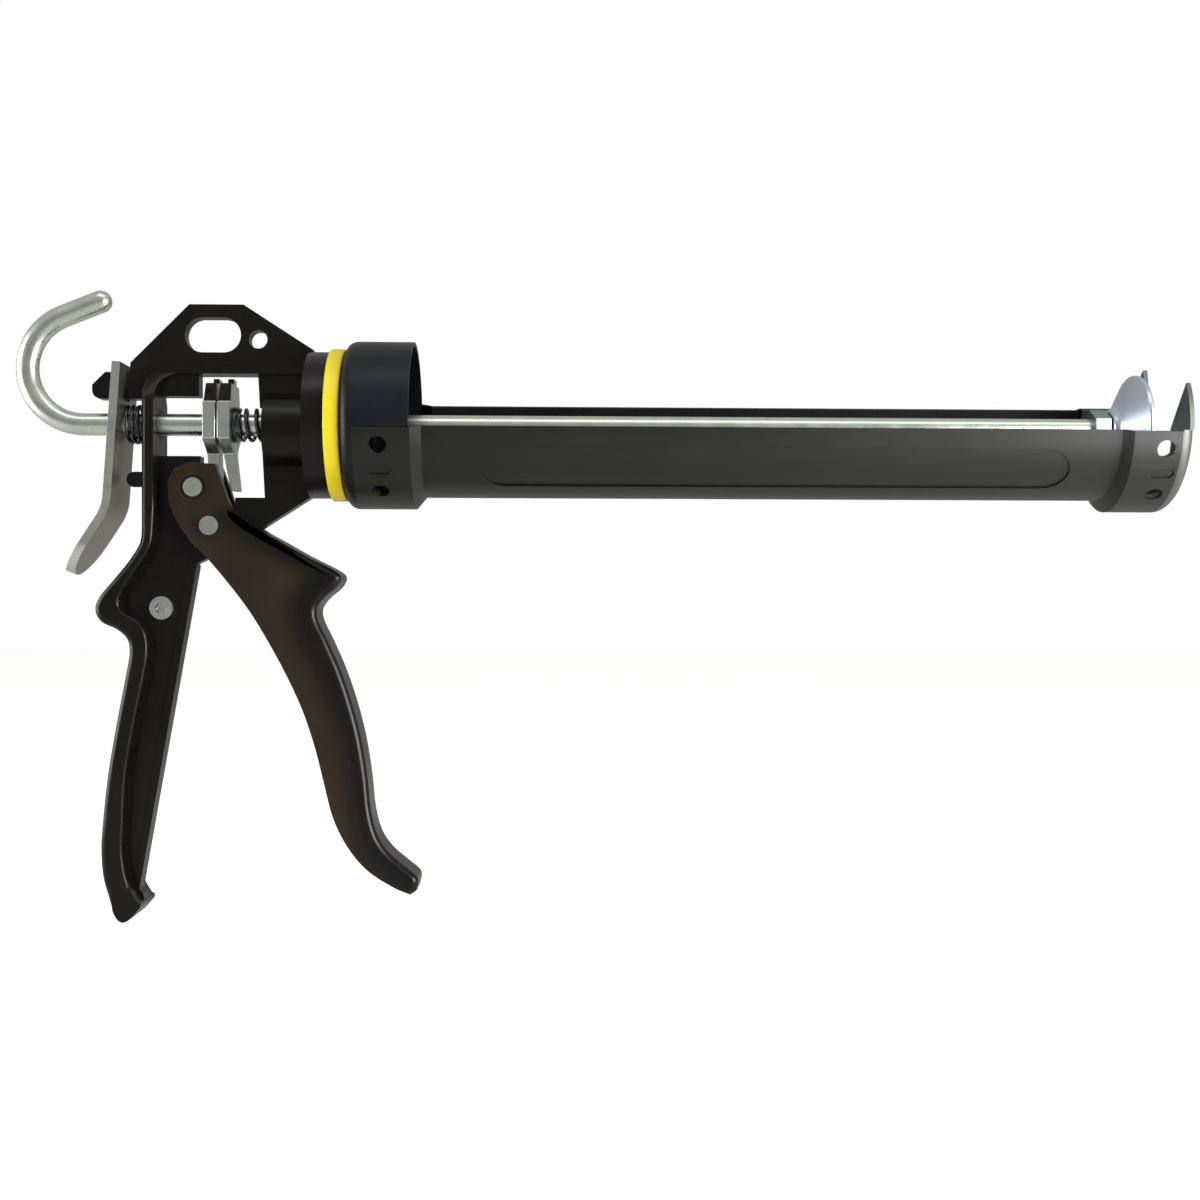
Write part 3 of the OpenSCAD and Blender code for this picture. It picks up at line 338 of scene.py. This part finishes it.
# ---------- Pins, screws and nuts ----------
# Steel fasteners with bright zinc plating: a pale metal, yellowish where it passivated, with
# faint drawn lines and a fine crystal sparkle.
zinc, tree, shader = new_finish("bright_zinc_on_steel", "#cdd2ca", 1, 0.26)
place = put(tree, "TexCoord").outputs["Object"]
mottled(tree, shader, place, "#bccac6", "#dad9c4", 7, 0.24, 0.34)
skin(tree, shader, place, 0.9, 0.0015)

# The same plating, dulled and darkened as painted shade, for faces that lie in shade
zinc_painted_shade, tree, shader = new_finish("zinc_with_painted_shade", "#2b2926", 1, 0.42)
place = put(tree, "TexCoord").outputs["Object"]
mottled(tree, shader, place, "#1d1b19", "#3b3833", 2, 0.34, 0.5)
skin(tree, shader, place, 0.5, 0.004)

# The screw's hexagon socket: the faces within this depth of its head and radius of its middle get
# painted shade
socket_depth, socket_r = 0.0018, 0.0023
for node, body, edge in (
        ("grip_screw", "frame", 0.0003), ("grip_nut", "frame", 0.0002),
        ("spigot_washer", "frame", 0.0002), ("spigot_nut", "frame", 0.0003),
        ("trigger_pin", "frame", 0.0002), ("trigger_pin_ring", "frame", 0.0001),
        ("drive_pin", "trigger", 0.0002), ("drive_pin_ring", "trigger", 0.0001)):
    fastener = solid_copy(node, node + "_steel")
    ease(fastener, edge)
    if node == "grip_screw":
        head_low, head_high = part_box(node)
        centre = (head_low + head_high) / 2
        # The socket's walls get painted shade
        face_finish(fastener, zinc_painted_shade, lambda at, normal: (
            at.y < head_low.y + socket_depth and abs(normal.y) < 0.5
            and math.hypot(at.x - centre.x, at.z - centre.z) < socket_r))
    fit(fastener, node, body, zinc)


# ---------- Friction ring ----------
# A moulded yellow nylon ring between the flange and the cup, which holds the barrel's turn.
ring_nylon, tree, shader = new_finish("moulded_yellow_nylon", "#f0da0c", 0, 0.42)
place = put(tree, "TexCoord").outputs["Object"]
mottled(tree, shader, place, "#e9ce08", "#f4e01c", 9, 0.36, 0.5)
skin(tree, shader, place, 0.7, 0.01)
ring = solid_copy("friction_ring", "yellow_ring")
ease(ring, 0.0006, segments=3)
fit(ring, "friction_ring", "frame", ring_nylon)


# ---------- Barrel ----------
# A rear cup, a half shell and a front cap, each pressed from sheet steel, lapped and clinched
# together. They are coated in a thin satin black that looks brown to grey where light falls.
shell_coat, tree, shader = new_finish(
    "coated_steel_shell", "#14150f", 0, 0.4, Specular_IOR_Level=0.32)
place = put(tree, "TexCoord").outputs["Object"]
mottled(tree, shader, place, "#10100c", "#1b1b15", 30, 0.36, 0.44)
skin(tree, shader, place, 1.2, 0.006)
shell = solid_copy("barrel_shell", "half_shell")
ease(shell, 0.0006, turn=20)
fit(shell, "barrel_shell", "barrel", shell_coat)

cup_coat, tree, shader = new_finish("coated_steel_cup", "#0d0e12", 0, 0.36, Specular_IOR_Level=0.2)
place = put(tree, "TexCoord").outputs["Object"]
mottled(tree, shader, place, "#0c0d11", "#15171b", 12, 0.34, 0.44)
skin(tree, shader, place, 0.8, 0.006)
cup = solid_copy("barrel_cup", "rear_cup")
ease(cup, 0.0003, turn=30)
fit(cup, "barrel_cup", "barrel", cup_coat)

# The cap has the shell's black coat, painted paler and grey: painted light where the muzzle end is lit
cap_coat_painted_light, tree, shader = new_finish("coated_steel_cap_painted_light", "#353932", 0, 0.38, Specular_IOR_Level=0.6)
place = put(tree, "TexCoord").outputs["Object"]
mottled(tree, shader, place, "#2b2e28", "#3e413a", 12, 0.34, 0.44)
skin(tree, shader, place, 0.8, 0.006)
cap = solid_copy("front_cap", "front_cap_pressing")
ease(cap, 0.0003, turn=30)
fit(cap, "front_cap", "barrel", cap_coat_painted_light)


# ---------- Plunger rod ----------
# An 8 mm drawn steel bar, bent to a pull hook at the rear and threaded at the front. It is
# bright zinc plated like the pins.
rod = solid_copy("plunger_rod", "hooked_rod")
only(rod)
bpy.ops.object.shade_smooth_by_angle(angle=math.radians(35))
fit(rod, "plunger_rod", "rod", zinc)


# ---------- Piston ----------
# A dished plate pressed from sheet steel between two nuts, with a washer in front. Its zinc
# is bluer and duller than the rod's.
piston_metal, tree, shader = new_finish("blue_zinc_on_pressed_steel", "#c6d2dc", 1, 0.32)
place = put(tree, "TexCoord").outputs["Object"]
mottled(tree, shader, place, "#c2b9ce", "#c6e0ea", 16, 0.28, 0.38)
skin(tree, shader, place, 0.5, 0.002)

nut_metal, tree, shader = new_finish("green_zinc_on_nuts", "#8fa19c", 1, 0.34)
place = put(tree, "TexCoord").outputs["Object"]
mottled(tree, shader, place, "#7c8f8b", "#a3b3ad", 5, 0.3, 0.42)
skin(tree, shader, place, 0.5, 0.004)
for node, body, edge in (
        ("piston_plate", "piston", 0.0005), ("piston_washer", "piston", 0.0002),
        ("piston_rear_nut", "rod", 0.0004), ("piston_front_nut", "rod", 0.0004)):
    plate = solid_copy(node, node + "_steel")
    ease(plate, edge, turn=32)
    fit(plate, node, body, piston_metal if body == "piston" else nut_metal)


# ---------- Drive plates ----------
# Two hardened steel plates with a close hole for the rod. Their tails reach down in front of
# the trigger's roller, and a washer stands between them and the drive spring.
# Their upper ends get painted shade: the sides above one height, every face above another.
painted_shade_sides_z, painted_shade_all_z = 0.0078, 0.0146
for node in ("drive_plate_rear", "drive_plate_front"):
    plate = solid_copy(node, node + "_steel")
    ease(plate, 0.0004)
    face_finish(plate, zinc_painted_shade, lambda at, normal: (
        at.z > painted_shade_sides_z and (abs(normal.y) > 0.6 or at.z > painted_shade_all_z)))
    fit(plate, node, "plates", zinc)

spring_metal, tree, shader = new_finish("oiled_spring_steel", "#4b4c4e", 1, 0.24)
place = put(tree, "TexCoord").outputs["Object"]
mottled(tree, shader, place, "#333436", "#626466", 1.5, 0.18, 0.34)
skin(tree, shader, place, 0.4, 0.004)
washer = solid_copy("spring_washer", "spring_washer_steel")
ease(washer, 0.0002)
fit(washer, "spring_washer", "plates", spring_metal)


# ---------- Trigger ----------
# A second die casting: two side walls with an open channel behind and a wide rounded rim for
# the fingers. Its coat is browner than the frame's.
trigger_coat, tree, shader = new_finish(
    "powder_coated_trigger", "#1b150e", 0, 0.28, Specular_IOR_Level=0.26)
place = put(tree, "TexCoord").outputs["Object"]
mottled(tree, shader, place, "#17120c", "#35291b", 34, 0.26, 0.36)
skin(tree, shader, place, 0.9, 0.02)
trigger = solid_copy("trigger", "trigger_casting")
rim_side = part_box("trigger")[1].y
web_side = 0.0073
round_over(trigger, 0.0028, lambda at, side, other: (
    abs(side.y) > 0.99 and abs(at.y) > rim_side - on_rim and other.x > 0.15))
ease(trigger, 0.0006, turn=30, edge_highlight_finish=edge_highlight_coat)
# All that stands out past the web has the frame's blacker coat
face_finish(trigger, casting_coat, lambda at, normal: abs(at.y) > web_side)
fit(trigger, "trigger", "trigger", trigger_coat)

roller_metal, tree, shader = new_finish("ground_hardened_steel", "#8f918d", 1, 0.22)
place = put(tree, "TexCoord").outputs["Object"]
mottled(tree, shader, place, "#7d7f7c", "#9c9e9a", 2, 0.18, 0.3)
skin(tree, shader, place, 0.3, 0.003)
roller = solid_copy("drive_roller", "drive_roller_steel")
ease(roller, 0.0003)
fit(roller, "drive_roller", "roller", roller_metal)


# ---------- Release plate ----------
# A 3 mm steel strip that hangs on the frame's lug and brakes the rod until the thumb pushes
# it. It is zinc plated, speckled along its sheared edges.
# A duller zinc for the plate's front face: it is the rolled face, and its darker colour is painted shade
# on that face
rolled_zinc_painted_shade, tree, shader = new_finish("rolled_face_zinc_painted_shade", "#a59c8e", 1, 0.4)
place = put(tree, "TexCoord").outputs["Object"]
mottled(tree, shader, place, "#8f8577", "#b3ab9f", 9, 0.34, 0.46)
skin(tree, shader, place, 0.8, 0.004)
release = solid_copy("release_plate", "release_strip")
ease(release, 0.0004)
face_finish(release, rolled_zinc_painted_shade, lambda at, normal: abs(normal.y) < 0.3 and normal.x > 0.5)
fit(release, "release_plate", "release", zinc)


# ---------- Springs ----------
# Round wire coiled to size, with the end turns closed flat: a drive spring between the plates
# and the boss, and a shorter, wider one behind the rear post.

def coil(name, node, wire, turns):
    """Wire swept round the rod between a CAD spring's two ends."""
    low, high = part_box(node)
    radius = high.z - wire / 2
    length = high.x - low.x - wire
    steps, sides = 28, 14
    bpy.ops.object.select_all(action="DESELECT")
    bpy.ops.mesh.primitive_circle_add(vertices=sides, radius=wire / 2,
                                      location=(low.x + wire / 2, 0, radius))
    bpy.ops.object.transform_apply(location=True, rotation=True, scale=True)
    piece = bpy.context.object
    piece.name = name
    rings = int(turns * steps)
    # The profile stands in the XZ plane
    piece.data.transform(Matrix.Translation((low.x + wire / 2, 0, radius))
                         @ Matrix.Rotation(math.radians(90), 4, "X")
                         @ Matrix.Translation((-low.x - wire / 2, 0, -radius)))
    modify(piece, "SCREW", axis="X", angle=math.radians(360 * turns), screw_offset=length, steps=rings,
           render_steps=rings, use_smooth_shade=True, use_merge_vertices=False)
    # The end turns lie almost flat against their seats, and the turns between share the rest
    flat, closed = 0.75, 0.9 * wire
    for index, point in enumerate(piece.data.vertices):
        turn = index // sides / rings * turns
        even = length * turn / turns
        middle = min(max(turn - flat, 0) / (turns - 2 * flat), 1)
        ends = min(turn, flat) / flat + max(turn - turns + flat, 0) / flat
        point.co.x += closed * ends + (length - 2 * closed) * middle - even
    only(piece)
    bpy.ops.object.mode_set(mode="EDIT")
    bpy.ops.mesh.select_all(action="SELECT")
    bpy.ops.mesh.fill_holes(sides=0)
    bpy.ops.mesh.normals_make_consistent(inside=False)
    bpy.ops.object.mode_set(mode="OBJECT")
    fit(piece, node, "frame", spring_metal)
    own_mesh(piece)


coil("drive_spring_coil", "drive_spring", 0.0014, 6.5)
coil("release_spring_coil", "release_spring", 0.0015, 3)
